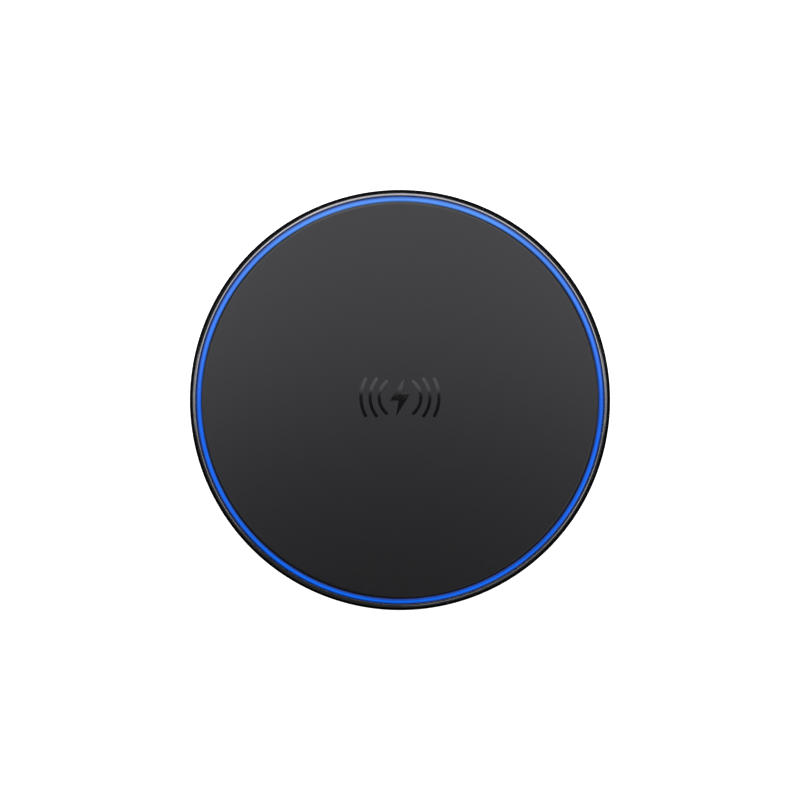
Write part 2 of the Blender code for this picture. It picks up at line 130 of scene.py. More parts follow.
def arc(centre_r, centre_z, radius_r, radius_z, start_deg, end_deg, pieces):
    """Points along part of an ellipse."""
    found = []
    for i in range(pieces + 1):
        a = math.radians(start_deg + (end_deg - start_deg) * i / pieces)
        found.append(Vector((centre_r + radius_r * math.cos(a), centre_z + radius_z * math.sin(a))))
    return found


def on_circle(radius, degrees, z=0.0):
    a = math.radians(degrees)
    return Vector((radius * math.cos(a), radius * math.sin(a), z))


def lathe(outline, steps=SMOOTH_STEPS, ring=True, reach=0.0):
    """A bmesh turned round Z from (r, z) points. A ring's outline closes on itself, and a disc's
    starts and ends on the axis. reach stretches the section into a slot shape along X."""
    columns = []
    for i in range(steps):
        a = math.tau * (i + 0.5 * bool(reach)) / steps
        side = (math.cos(a) > 0) - (math.cos(a) < 0)
        columns.append((math.cos(a), math.sin(a), side * reach))
    bm = bmesh.new()
    rows = []
    for r, z in outline:
        if r < 1e-6 and not reach:
            rows.append([bm.verts.new((0, 0, z * MM))])
        else:
            rows.append([bm.verts.new(((r * c + shift) * MM, r * s * MM, z * MM))
                         for c, s, shift in columns])
    pairs = list(zip(rows, rows[1:]))
    if ring:
        pairs.append((rows[-1], rows[0]))
    for a, b in pairs:
        for i in range(steps):
            j = (i + 1) % steps
            corners = [a[i % len(a)], a[j % len(a)], b[j % len(b)], b[i % len(b)]]
            bm.faces.new(dict.fromkeys(corners))
    if reach and not ring:
        bm.faces.new(rows[0])
        bm.faces.new(rows[-1])
    return bm


def cylinder(radius, low, high, steps):
    return lathe([(0, low), (radius, low), (radius, high), (0, high)], steps, ring=False)


def along_y(bm, height):
    """Lays an upright bmesh on its side, so that what ran up Z runs back along Y, at a height."""
    turn = Matrix.Translation((0, 0, height * MM)) @ Matrix.Rotation(math.radians(-90), 4, "X")
    bmesh.ops.transform(bm, matrix=turn, verts=bm.verts)
    return bm


def at_places(make, places):
    """One bmesh with a copy of what make() gives at each (x, y)."""
    whole = bmesh.new()
    for x, y in places:
        one = make()
        bmesh.ops.translate(one, vec=(x * MM, y * MM, 0), verts=one.verts)
        part = bpy.data.meshes.new("part")
        one.to_mesh(part)
        one.free()
        whole.from_mesh(part)
        bpy.data.meshes.remove(part)
    return whole


def blocks(parts):
    """A bmesh of bevelled blocks, each (middle of its base, size, bevel, material number)."""
    bm = bmesh.new()
    for (x, y, z), size, bevel, index in parts:
        made = bmesh.ops.create_cube(bm, size=1.0)
        verts = made["verts"]
        bmesh.ops.scale(bm, vec=[s * MM for s in size], verts=verts)
        bmesh.ops.translate(bm, vec=(x * MM, y * MM, (z + size[2] / 2) * MM), verts=verts)
        faces = {f for v in verts for f in v.link_faces}
        for face in faces:
            face.material_index = index
        if bevel:
            edges = list({e for v in verts for e in v.link_edges})
            bmesh.ops.bevel(bm, geom=edges, offset=bevel * MM, segments=2, profile=0.6, affect="EDGES")
    return bm


def prism(outlines, low, high, bevel=0.0):
    """A bmesh of flat plates from 2-D outlines, between two heights."""
    bm = bmesh.new()
    for outline in outlines:
        face = bm.faces.new([bm.verts.new((x * MM, y * MM, low * MM)) for x, y in outline])
        made = bmesh.ops.extrude_face_region(bm, geom=[face])
        top = [v for v in made["geom"] if isinstance(v, bmesh.types.BMVert)]
        bmesh.ops.translate(bm, vec=(0, 0, (high - low) * MM), verts=top)
        if bevel:
            edges = list({e for v in top for e in v.link_edges if all(w in top for w in e.verts)})
            bmesh.ops.bevel(bm, geom=edges, offset=bevel * MM, segments=2, affect="EDGES")
    return bm


def as_mesh(name, bm, sharp_deg=35):
    bmesh.ops.recalc_face_normals(bm, faces=bm.faces)
    mesh = bpy.data.meshes.new(name)
    bm.to_mesh(mesh)
    bm.free()
    mesh.shade_smooth()
    mesh.set_sharp_from_angle(angle=math.radians(sharp_deg))
    return mesh


def combined(name, bm, changes):
    """The mesh of bm after Booleans with other bmeshes, each given as (operation, bmesh)."""
    body = bpy.data.objects.new(name, as_mesh(name, bm))
    bpy.context.scene.collection.objects.link(body)
    tools = []
    for operation, tool_bm in changes:
        tool = bpy.data.objects.new("tool", as_mesh("tool", tool_bm))
        bpy.context.scene.collection.objects.link(tool)
        modifier = body.modifiers.new("change", "BOOLEAN")
        modifier.operation = operation
        modifier.object = tool
        tools.append(tool)
    graph = bpy.context.evaluated_depsgraph_get()
    mesh = bpy.data.meshes.new_from_object(body.evaluated_get(graph))
    for used in [body, *tools]:
        bpy.data.objects.remove(used)
    mesh.name = name
    mesh.shade_smooth()
    mesh.set_sharp_from_angle(angle=math.radians(35))
    return mesh


def piece(name, data, finishes, nodes=(), place=(0, 0, 0), turn_deg=0.0):
    """Puts a finished piece in the scene, on the pad's one body."""
    made = bpy.data.objects.new(name, data)
    bpy.context.scene.collection.objects.link(made)
    if not data.materials:
        for finish in finishes:
            data.materials.append(finish)
    made.location = [p * MM for p in place]
    made.rotation_euler.z = math.radians(turn_deg)
    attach(made, "root")
    if nodes:
        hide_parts(*nodes)
    return made


# ---------------------------------------------------------------- materials
def add(tree, kind, inputs=None, **settings):
    """A shader node, with its inputs linked or set."""
    made = tree.nodes.new("ShaderNode" + kind)
    for key, value in settings.items():
        setattr(made, key, value)
    for key, value in (inputs or {}).items():
        if isinstance(value, bpy.types.NodeSocket):
            tree.links.new(value, made.inputs[key])
        else:
            made.inputs[key].default_value = value
    return made


def calc(tree, operation, a, b=0.0, c=0.0):
    """A Math node's result."""
    return add(tree, "Math", {0: a, 1: b, 2: c}, operation=operation).outputs[0]


def noise(tree, size, detail=3.0, stretch=(1, 1, 1), roughness=0.55):
    """Noise of about 0 to 1 whose blobs are size millimetres across."""
    where = add(tree, "TexCoord").outputs["Object"]
    where = add(tree, "Mapping", {"Vector": where, "Scale": [1 / s for s in stretch]}).outputs[0]
    made = add(tree, "TexNoise", {"Vector": where, "Scale": 1 / (size * MM), "Detail": detail,
                                  "Roughness": roughness})
    return made.outputs["Fac"]


def ranged(tree, value, low, high, start=0.3, end=0.7):
    """A value that runs from low to high while the one given runs from start to end."""
    return add(tree, "MapRange", {"Value": value, "From Min": start, "From Max": end, "To Min": low,
                                  "To Max": high}).outputs[0]


def blend(tree, share, a, b):
    """A colour between a and b."""
    made = add(tree, "Mix", {0: share}, data_type="RGBA")
    for socket, value in ((made.inputs[6], a), (made.inputs[7], b)):
        if isinstance(value, bpy.types.NodeSocket):
            tree.links.new(value, socket)
        else:
            socket.default_value = (*value, 1.0)
    return made.outputs[2]


def surface(name, colour, rough, mottle=(3.0, 0.12), uneven=(1.5, 0.06), grain=(0.25, 0.006),
            stretch=(1, 1, 1), **values):
    """A Principled material. mottle is the size of its patches and how much they vary the colour,
    uneven the size and amount of its changes in roughness, and grain the size and depth of its
    fine bumps, in millimetres. values are set on the shader's own sockets."""
    made = bpy.data.materials.new(name)
    made.use_nodes = True
    tree = made.node_tree
    shader = tree.nodes["Principled BSDF"]
    size, amount = mottle
    patches = ranged(tree, noise(tree, size, 4.0, stretch), 0.0, 1.0)
    darker = [c * (1 - amount) for c in colour]
    lighter = [min(1.0, c * (1 + amount)) for c in colour]
    tree.links.new(blend(tree, patches, darker, lighter), shader.inputs["Base Color"])
    size, amount = uneven
    tree.links.new(ranged(tree, noise(tree, size, 3.0, stretch), rough - amount, rough + amount),
                   shader.inputs["Roughness"])
    size, depth = grain
    bump = add(tree, "Bump", {"Height": noise(tree, size, 2.0, stretch), "Distance": depth * MM,
                              "Strength": 1.0})
    tree.links.new(bump.outputs[0], shader.inputs["Normal"])
    for key, value in values.items():
        shader.inputs[key.replace("_", " ")].default_value = value
    return made


def polar_coordinates(tree):
    """Sockets of the distance from the pad's axis in millimetres, and of the angle in radians."""
    parts = add(tree, "SeparateXYZ", {0: add(tree, "TexCoord").outputs["Object"]})
    x, y = parts.outputs[0], parts.outputs[1]
    squares = calc(tree, "ADD", calc(tree, "MULTIPLY", x, x), calc(tree, "MULTIPLY", y, y))
    return calc(tree, "DIVIDE", calc(tree, "SQRT", squares), MM), calc(tree, "ARCTAN2", y, x)


def light_finish():
    """The lit guide: a soft band of blue light round it, under a glossy skin. The band is slightly
    stronger over each lamp. Towards the back it is paler, a painted reflection of the lights behind,
    and it lies nearer the plate and is wider there, a painted reflection of the glow in the plate's
    rounded edge."""
    made = surface("lit blue guide", (0.004, 0.030, 0.20), 0.14, grain=(0.4, 0.002),
                   Specular_IOR_Level=0.2)
    tree = made.node_tree
    shader = tree.nodes["Principled BSDF"]
    radius, angle = polar_coordinates(tree)
    back, right = calc(tree, "SINE", angle), calc(tree, "COSINE", angle)
    # Nearer the plate and wider at the back: painted reflection of the glow in the plate's edge.
    centre = calc(tree, "MULTIPLY_ADD", right, BAND_RIGHT_SHIFT, BAND_RADIUS)
    centre = calc(tree, "MULTIPLY_ADD", back, BAND_BACK_REFLECTION_SHIFT, centre)
    width = calc(tree, "MULTIPLY_ADD", back, BAND_BACK_REFLECTION_WIDER, BAND_HALF_WIDTH)
    off = calc(tree, "DIVIDE", calc(tree, "SUBTRACT", radius, centre), width)
    band = calc(tree, "EXPONENT", calc(tree, "MULTIPLY", calc(tree, "MULTIPLY", off, off), -1.0))
    lamps = calc(tree, "COSINE", calc(tree, "MULTIPLY_ADD", angle, float(LAMP_COUNT), math.pi))
    spots = ranged(tree, lamps, low=0.90, high=1.08, start=-1.0, end=1.0)
    cloudy = ranged(tree, noise(tree, 9.0, 1.0), low=0.95, high=1.05)
    power = calc(tree, "MULTIPLY", calc(tree, "MULTIPLY", band, spots), cloudy)
    # Paler towards the back: painted reflection of the lights behind the pad.
    painted_reflection_share = ranged(tree, back, low=0.0, high=1.0, start=-0.05, end=1.0)
    full = blend(tree, painted_reflection_share, (0.003, 0.130, 0.78), (0.105, 0.310, 0.83))
    tree.links.new(blend(tree, power, (0.0, 0.002, 0.02), full), shader.inputs["Emission Color"])
    shader.inputs["Emission Strength"].default_value = 1.0
    return made


def board_finish():
    """Green solder mask over copper: paler traces in rings or spokes, and small bright vias."""
    made = surface("green circuit board", (0.006, 0.070, 0.030), 0.32, mottle=(6.0, 0.15),
                   grain=(0.3, 0.004), Coat_Weight=0.35, Coat_Roughness=0.2)
    tree = made.node_tree
    shader = tree.nodes["Principled BSDF"]
    plain = shader.inputs["Base Color"].links[0].from_socket
    radius, angle = polar_coordinates(tree)
    ring_pitch, spoke_pitch = 1.25, math.radians(3)
    across = calc(tree, "FRACT", calc(tree, "MULTIPLY", radius, 1 / ring_pitch))
    around = calc(tree, "FRACT", calc(tree, "MULTIPLY", angle, 1 / spoke_pitch))
    rings, spokes = calc(tree, "LESS_THAN", across, 0.34), calc(tree, "LESS_THAN", around, 0.16)
    patches = calc(tree, "GREATER_THAN", noise(tree, 7.0, 0.0), 0.52)
    chosen = add(tree, "Mix", {0: patches, 2: rings, 3: spokes}, data_type="FLOAT").outputs[0]
    traced = blend(tree, calc(tree, "MULTIPLY", chosen, 0.65), plain, (0.020, 0.170, 0.060))
    where = add(tree, "TexCoord").outputs["Object"]
    cells = add(tree, "TexVoronoi", {"Vector": where, "Scale": 1 / (2.6 * MM), "Randomness": 0.6})
    vias = calc(tree, "LESS_THAN", cells.outputs["Distance"], 0.085)
    coloured = blend(tree, vias, traced, (0.45, 0.36, 0.16))
    tree.links.new(coloured, shader.inputs["Base Color"])
    return made


MATTE = surface("matte black casing", (0.0070, 0.0070, 0.0074), 0.46, grain=(0.22, 0.006),
                Specular_IOR_Level=0.4)
# The lip's black is far darker and less reflective than the casing's: painted shade for the dark outline
# round the pad.
PAINTED_SHADE_LIP = surface("polished black lip with painted shade", (0.0008, 0.0008, 0.0009), 0.22, mottle=(1.5, 0.15),
              grain=(0.5, 0.001), Specular_IOR_Level=0.03)
PLATE = surface("soft matte black plate", (0.004, 0.004, 0.0042), 0.35, mottle=(0.9, 0.10),
                uneven=(0.5, 0.03), grain=(0.16, 0.0022), stretch=(1.6, 1, 1),
                Specular_IOR_Level=0.5)
PRINT = surface("gloss black print", (0.0012, 0.0012, 0.0014), 0.05, mottle=(1.0, 0.1),
                uneven=(0.6, 0.02), grain=(1.2, 0.001), Specular_IOR_Level=0.8)
TRIM = surface("black chrome trim", (0.20, 0.20, 0.204), 0.14, mottle=(2.5, 0.05),
               uneven=(2.0, 0.03), grain=(0.8, 0.0002), Metallic=1.0)
LIT = light_finish()
RUBBER = surface("black silicone rubber", (0.016, 0.016, 0.017), 0.72, grain=(0.12, 0.006),
                 mottle=(2.0, 0.2), Specular_IOR_Level=0.35)
FOIL = surface("blank label film", (0.050, 0.050, 0.054), 0.42, grain=(0.10, 0.002),
               mottle=(5.0, 0.08))
STEEL = surface("plated steel", (0.56, 0.56, 0.57), 0.27, mottle=(0.8, 0.10), uneven=(0.5, 0.08),
                grain=(0.12, 0.0015), stretch=(1, 6, 1), Metallic=1.0)
DARK_STEEL = surface("blackened steel", (0.11, 0.11, 0.12), 0.36, mottle=(0.6, 0.2),
                     uneven=(0.4, 0.08), grain=(0.10, 0.003), Metallic=1.0)
GOLD = surface("gold plating", (0.90, 0.62, 0.22), 0.22, mottle=(0.4, 0.08), uneven=(0.3, 0.05),
               grain=(0.08, 0.0008), Metallic=1.0)
SOLDER = surface("tinned metal", (0.62, 0.62, 0.60), 0.33, mottle=(0.3, 0.15), uneven=(0.2, 0.1),
                 grain=(0.15, 0.004), Metallic=1.0)
RESIN = surface("black moulded resin", (0.013, 0.013, 0.014), 0.52, mottle=(0.6, 0.25),
                grain=(0.06, 0.003))
BOARD = board_finish()
CERAMIC = surface("tan capacitor ceramic", (0.38, 0.235, 0.125), 0.48, mottle=(0.5, 0.15),
                  grain=(0.08, 0.003))
FERRITE = surface("grey sintered ferrite", (0.048, 0.048, 0.051), 0.62, mottle=(0.5, 0.35),
                  uneven=(0.7, 0.10), grain=(0.18, 0.010))
FILM = surface("amber adhesive film", (0.50, 0.22, 0.025), 0.26, mottle=(4.0, 0.14),
               grain=(2.5, 0.006), Coat_Weight=0.5)
COPPER = surface("enamelled copper wire", (0.70, 0.25, 0.10), 0.28, mottle=(1.2, 0.14),
                 uneven=(0.8, 0.06), grain=(0.15, 0.001), Metallic=1.0, Coat_Weight=0.6,
                 Coat_Roughness=0.12)
LAMP = surface("white lamp body", (0.74, 0.75, 0.72), 0.40, mottle=(0.5, 0.04), grain=(0.1, 0.002))
LENS = surface("blue lamp lens", (0.05, 0.22, 0.80), 0.15, grain=(0.3, 0.001),
               Emission_Color=(0.01, 0.16, 0.85, 1.0), Emission_Strength=1.5)


# ---------------------------------------------------------------- outer pieces
def make_base():
    """The dished base with its rim, screw posts, foot groove, label recess and socket opening."""
    rim, top, under = BASE_HIGH.x, BASE_HIGH.z, BASE_LOW.z
    lip, edge = BEZEL_HIGH.x + 0.1, 0.42  # the lip's inner radius, and the fillet outside it
    shelf = BEZEL_LOW.z - 0.1
    wall, wall_foot, wall_bend = 48.4, 3.6, 2.0
    bend, side_foot = 46.0, 3.2  # where the underside turns up, and where it meets the upright side
    seam, seam_half, seam_depth = 5.0, 0.08, 0.09
    recess, recess_roof = 15.0, LABEL_HIGH.z + 0.05
    groove_roof = FOOT_HIGH.z + 0.1
    floor, raised, raised_inner = 1.7, 2.1, GROOVE_INNER - 1.2  # the floor is raised over the groove
    outline = [Vector((0, recess_roof))]
    outline += rounded([(0, recess_roof), (recess, recess_roof, 0.05), (recess, under, 0.08),
                        (GROOVE_INNER, under, 0.12), (GROOVE_INNER, groove_roof, 0.05),
                        (GROOVE_OUTER, groove_roof, 0.05), (GROOVE_OUTER, under, 0.12),
                        (bend, under)], 3)[1:-1]
    outline += arc(bend, side_foot, rim - bend, side_foot - under, -90, 0, 18)
    outline += rounded([(rim, side_foot), (rim, seam - seam_half, 0.03), (rim - seam_depth, seam, 0.03),
                        (rim, seam + seam_half, 0.03), (rim, top)], 2)[1:-1]
    outline += arc(rim - edge, top - edge, edge, edge, 0, 90, 10)
    outline += rounded([(rim - edge, top), (lip, top, 0.03), (lip, shelf, 0.04), (wall, shelf, 0.05),
                        (wall, wall_foot)], 2)[1:-1]
    outline += arc(wall - wall_bend, wall_foot, wall_bend, wall_foot - raised, 0, -90, 8)
    outline += rounded([(wall - wall_bend, raised), (raised_inner, raised, 0.1),
                        (raised_inner, floor, 0.1), (0, floor)], 2)[1:-1]
    outline.append(Vector((0, floor)))

    def post():
        radius, low, high = 3.2, raised - 0.3, BOARD_LOW.z - 0.1
        return lathe(rounded([(0, low), (radius, low), (radius, high, 0.15), (0, high)]), SMALL_STEPS,
                     ring=False)

    def screw_hole():
        head, shank, shoulder, end = 2.1, 1.15, 2.3, 4.0
        return lathe([(0, 0), (head, 0), (head, shoulder), (shank, shoulder + 0.05), (shank, end),
                      (0, end)], SMALL_STEPS, ring=False)

    half, flare, flare_end = SHELL_HALF + 0.2, 0.5, rim + 0.05
    mouth = [(half, 45), (half, flare_end - flare), (half + flare, flare_end), (half + flare, rim + 2)]
    opening = along_y(lathe(mouth, 64, ring=False, reach=SHELL_REACH), SHELL_MIDDLE)
    gate_marks = at_places(lambda: cylinder(1.2, 0, under + 0.05, 32),
                           [(24, 0), (-24, 0), (0, 24), (0, -24)])
    mesh = combined("base", lathe(outline, ring=False),
                    [("UNION", at_places(post, SCREWS)), ("DIFFERENCE", at_places(screw_hole, SCREWS)),
                     ("DIFFERENCE", opening), ("DIFFERENCE", gate_marks)])
    # The lip's top takes the second finish, the darker copy of the casing's black: painted shade.
    for face in mesh.polygons:
        radius, height = face.center.xy.length / MM, face.center.z / MM
        face.material_index = int(radius > lip - 0.02 and height > top - edge - 0.01)
    piece("base_shell", mesh, [MATTE, PAINTED_SHADE_LIP], ["base_housing"])


def make_foot():
    """The rubber ring, with rounded ridges on its lower face."""
    inner, outer, top = GROOVE_INNER + 0.15, FOOT_HIGH.x, FOOT_HIGH.z
    ridges, ridge_height = 6, 0.20
    pitch = (outer - inner) / ridges
    outline = [Vector((outer, top)), Vector((inner, top))]
    for i in range(ridges):
        centre = inner + pitch * (i + 0.5)
        outline.append(Vector((centre - pitch * 0.5, ridge_height)))
        outline += arc(centre, ridge_height, pitch * 0.40, ridge_height, 180, 360, 8)
    outline.append(Vector((outer, ridge_height)))
    piece("foot_pad", as_mesh("foot_pad", lathe(outline)), [RUBBER], ["foot_ring"])


def make_label():
    """The blank label, a thin disc with rounded edges."""
    radius, low, high, edge = LABEL_HIGH.x, LABEL_LOW.z, LABEL_HIGH.z, 0.05
    outline = rounded([(0, low), (radius, low, edge), (radius, high, edge), (0, high)], 2)
    piece("blank_label", as_mesh("blank_label", lathe(outline, 160, ring=False)), [FOIL],
          ["rating_label"])


def make_cover():
    """The top plate with its rounded edge and the four bosses below it."""
    edge, low, top = COVER_HIGH.x, 6.5, COVER_HIGH.z - PRINT_PROUD
    slope_width, slope_height = 0.40, 0.24
    outline = rounded([(0, low), (edge, low, 0.12), (edge, top - slope_height, 0.05),
                       (edge - slope_width, top, 0.75), (0, top)], 8)

    def boss():
        radius, foot, head = 2.5, COVER_LOW.z, low + 0.4
        return lathe(rounded([(0, foot), (radius, foot, 0.15), (radius, head), (0, head)], 3),
                     SMALL_STEPS, ring=False)

    def pilot():
        lead_in, hole = 1.25, 1.05
        start, lead_end, narrow, end, tip = 4.0, 4.4, 4.6, 7.0, 7.3
        return lathe([(0, start), (lead_in, start), (lead_in, lead_end), (hole, narrow), (hole, end),
                      (0, tip)], SMALL_STEPS, ring=False)

    mesh = combined("cover", lathe(outline, ring=False),
                    [("UNION", at_places(boss, SCREWS)), ("DIFFERENCE", at_places(pilot, SCREWS))])
    piece("cover_plate", mesh, [PLATE], ["top_cover"])


def curved_bar(radius, half_deg, facing_deg, width):
    """The outline of a bar with round ends, bent round the middle of the mark."""
    half = width / 2
    start_deg, end_deg = facing_deg - half_deg, facing_deg + half_deg
    start, end = on_circle(radius, start_deg), on_circle(radius, end_deg)
    return (arc(0, 0, radius + half, radius + half, start_deg, end_deg, 40)
            + arc(end.x, end.y, half, half, end_deg, end_deg + 180, 8)[1:-1]
            + arc(0, 0, radius - half, radius - half, end_deg, start_deg, 40)
            + arc(start.x, start.y, half, half, start_deg + 180, start_deg + 360, 8)[1:-1])


def make_mark():
    """The gloss print at the middle of the plate: a bolt between arcs."""
    outlines = [[(1.0, 4.55), (-2.35, -0.75), (-0.35, -0.75), (-1.0, -4.55), (2.35, 0.75), (0.35, 0.75)]]
    width, shift_back = 0.78, 0.6
    for radius, half_deg in ((4.95, 50), (7.1, 38), (9.25, 28)):
        outlines += [curved_bar(radius, half_deg, facing_deg, width) for facing_deg in (0, 180)]
    shifted = [[(x, y + shift_back) for x, y in outline] for outline in outlines]
    bm = prism(shifted, COVER_HIGH.z - 2.5 * PRINT_PROUD, COVER_HIGH.z)
    piece("gloss_print", as_mesh("gloss_print", bm), [PRINT])


def make_guide():
    """The clear ring: a flange under the plate's edge, and an upright wall with a domed top."""
    outer, inner, flange_inner = GUIDE_HIGH.x, GUIDE_INNER, 46.0
    low, flange, dome = GUIDE_LOW.z, 6.4, 0.18
    shoulder, centre = GUIDE_HIGH.z - dome, (outer + inner) / 2
    outline = rounded([(flange_inner, low), (outer, low, 0.08), (outer, shoulder)], 3)[1:-1]
    outline += arc(centre, shoulder, outer - centre, dome, 0, 180, 14)
    outline += rounded([(inner, shoulder), (inner, flange, 0.1), (flange_inner, flange, 0.08),
                        (flange_inner, low, 0.08), (outer, low)], 3)[1:-1]
    piece("light_ring", as_mesh("light_ring", lathe(outline)), [LIT], ["light_guide"])


def make_bezel():
    """The trim ring, whose nearly flat top rolls over into a slope down to the outer side."""
    inner, outer, low, top = BEZEL_INNER, BEZEL_HIGH.x, BEZEL_LOW.z, BEZEL_HIGH.z
    slope_end = top - 0.292
    turn, turn_height = inner + 0.373, top + 0.018  # a corner that its fillet takes away
    flat_start, flat_height = inner + 0.035, top - 0.0116
    outline = rounded([(inner, low, 0.05), (outer, low, 0.05), (outer, slope_end, 0.015),
                       (turn, turn_height, 0.60), (flat_start, flat_height, 0.03),
                       (inner, top - 0.20, 0.08)], 8)
    piece("trim_ring", as_mesh("trim_ring", lathe(outline), 60), [TRIM], ["bezel_ring"])


# ---------------------------------------------------------------- pieces inside
def make_screws():
    """Pan-head screws with a cross recess in the head and ridges for a thread on the shank."""
    low, tip = (corner.z for corner in span("housing_screw_1"))
    head, bearing = 1.8, 2.2
    root, crest, ridges, pitch, thread_low = 0.70, 0.9, 6, 0.45, 3.45
    outline = rounded([(0, low), (head, low, 0.35), (head, bearing, 0.06), (root, bearing),
                       (root, thread_low - 0.05)], 4)
    for i in range(ridges):
        z = thread_low + pitch * i
        outline += [Vector((root, z)), Vector((crest, z + 0.19)), Vector((crest, z + 0.24)),
                    Vector((root, z + 0.42))]
    outline += [Vector((root * 0.8, tip - 0.4)), Vector((0, tip))]
    length, width, depth = 2.2, 0.52, 1.0  # the bars that cut the recess, half of each below the head
    bars = [blocks([((0, 0, low - depth / 2), (x, y, depth), 0.05, BODY)])
            for x, y in ((length, width), (width, length))]
    mesh = combined("screw", lathe(outline, SMALL_STEPS, ring=False),
                    [("DIFFERENCE", bar) for bar in bars])
    for number, place in enumerate(SCREWS, 1):
        piece(f"case_screw_{number}", mesh, [DARK_STEEL],
              [f"housing_screw_{number}"], (place.x, place.y, 0), 20.0 * number)


def make_board():
    """The circuit board, with plated rings at its screw holes and the coil leads' soldered pads."""
    low, high, edge = BOARD_LOW.z, BOARD_HIGH.z, BOARD_HIGH.x
    disc = lathe(rounded([(0, low), (edge, low, 0.06), (edge, high, 0.06), (0, high)], 2), 200,
                 ring=False)
    hole = 1.25
    notch_start, notch_width, notch_length = SHELL_LOW.y - 0.33, 9.6, 10
    notch = blocks([((0, notch_start + notch_length / 2, low - 1), (notch_width, notch_length, 3), 0,
                     BODY)])
    holes = at_places(lambda: cylinder(hole, low - 1, high + 1, SMALL_STEPS), SCREWS)
    mesh = combined("board", disc, [("DIFFERENCE", holes), ("DIFFERENCE", notch)])
    piece("circuit_board", mesh, [BOARD], ["main_board"])
    inner, outer, sunk, proud = hole + 0.02, 2.3, high - 0.02, high + 0.03
    ring = rounded([(inner, sunk), (outer, sunk), (outer, proud, 0.02), (inner, proud, 0.02)], 1)
    piece("hole_pads", as_mesh("hole_pads", at_places(lambda: lathe(ring, SMALL_STEPS), SCREWS)),
          [GOLD])
    pads = blocks([((LEAD_END + 1.2, y, sunk), (3.0, 2.4, proud - sunk), 0.01, BODY)
                   for y in LEAD_ROWS])
    piece("lead_pads", as_mesh("lead_pads", pads), [GOLD])
    dome = [Vector((0, high))] + arc(0, high, 1.25, 1.0, 0, 90, 8)
    joints = at_places(lambda: lathe(dome, SMALL_STEPS, ring=False),
                       [(LEAD_END + 0.4, y) for y in LEAD_ROWS])
    piece("lead_joints", as_mesh("lead_joints", joints), [SOLDER])


def make_socket_shell():
    """The socket's steel shell with two spring slots in its top, and its four soldered tabs."""
    back, front, outer = SHELL_LOW.y, SHELL_HIGH.y, SHELL_HALF
    inner = outer - SHELL_WALL
    tube = rounded([(outer, back, 0.08), (outer, front, 0.14), (inner, front, 0.12),
                    (inner, back, 0.08)], 3)
    shell = along_y(lathe(tube, SOCKET_STEPS, reach=SHELL_REACH), SHELL_MIDDLE)
    depth = 0.9
    slots = blocks([((x, back + 3.6, SHELL_HIGH.z - depth / 2), (0.8, 1.9, depth), 0, BODY)
                    for x in (-2.3, 2.3)])
    tabs = blocks([((x, y, BOARD_HIGH.z), (1.7, 1.1, 0.30), 0.05, BODY)
                   for x in (-5.05, 5.05) for y in (back + 1.4, back + 4.4)])
    piece("socket_shell", combined("shell", shell, [("DIFFERENCE", slots)]), [STEEL],
          ["usb_shell"])
    piece("socket_tabs", as_mesh("socket_tabs", tabs), [SOLDER])


def make_socket_tongue():
    """The socket's insulator with its tongue, and the gilt contacts on both of the tongue's faces."""
    back, tip = SHELL_LOW.y, SHELL_HIGH.y - 1.0
    edge, plug_end = SHELL_HALF - SHELL_WALL - 0.12, back + 1.6
    plug = [(edge, back + 0.1), (edge, plug_end - 0.1), (edge - 0.1, plug_end)]
    body = along_y(lathe(plug, SOCKET_STEPS, ring=False, reach=SHELL_REACH), SHELL_MIDDLE)
    width, thickness, start = 6.7, 0.7, plug_end - 0.5
    blade = blocks([((0, (start + tip) / 2, SHELL_MIDDLE - thickness / 2),
                     (width, tip - start, thickness), 0.10, BODY)])
    piece("socket_insulator", combined("insulator", body, [("UNION", blade)]),
          [RESIN], ["usb_tongue"])
    count, pitch, foil = 12, 0.5, 0.03
    contacts = []
    for i in range(count):
        x = (i - (count - 1) / 2) * pitch
        length = 3.9 if i in (0, 3, 8, 11) else 3.5  # the power contacts reach further back
        for face in (thickness / 2, -thickness / 2):
            contacts.append(((x, tip - 0.35 - length / 2, SHELL_MIDDLE + face - foil / 2),
                             (0.26, length, foil), 0.006, BODY))
    piece("socket_contacts", as_mesh("socket_contacts", blocks(contacts)), [GOLD])


def make_slotted(name, node, finish, inner, outer, fillet):
    """A flat ring with a slot out along +X for the coil's inner lead."""
    low, high = (corner.z for corner in span(node))
    outline = rounded([(inner, low, fillet), (outer, low, fillet), (outer, high, fillet),
                       (inner, high, fillet)], 2)
    cut = blocks([(((inner + outer) / 2, 0, low - 1), (outer, 1.8, 3), 0, BODY)])
    piece(name, combined(name, lathe(outline, 160), [("DIFFERENCE", cut)]), [finish], [node])


def smooth_through(points, pieces):
    """Points of a Catmull-Rom curve through points, pieces to each stretch."""
    found = []
    padded = [points[0] * 2 - points[1], *points, points[-1] * 2 - points[-2]]
    for a, b, c, d in zip(padded, padded[1:], padded[2:], padded[3:]):
        for i in range(pieces):
            t = i / pieces
            found.append(0.5 * (2 * b + (c - a) * t + (2 * a - 5 * b + 4 * c - d) * t * t
                                + (3 * b - a - 3 * c + d) * t ** 3))
    return [*found, points[-1]]


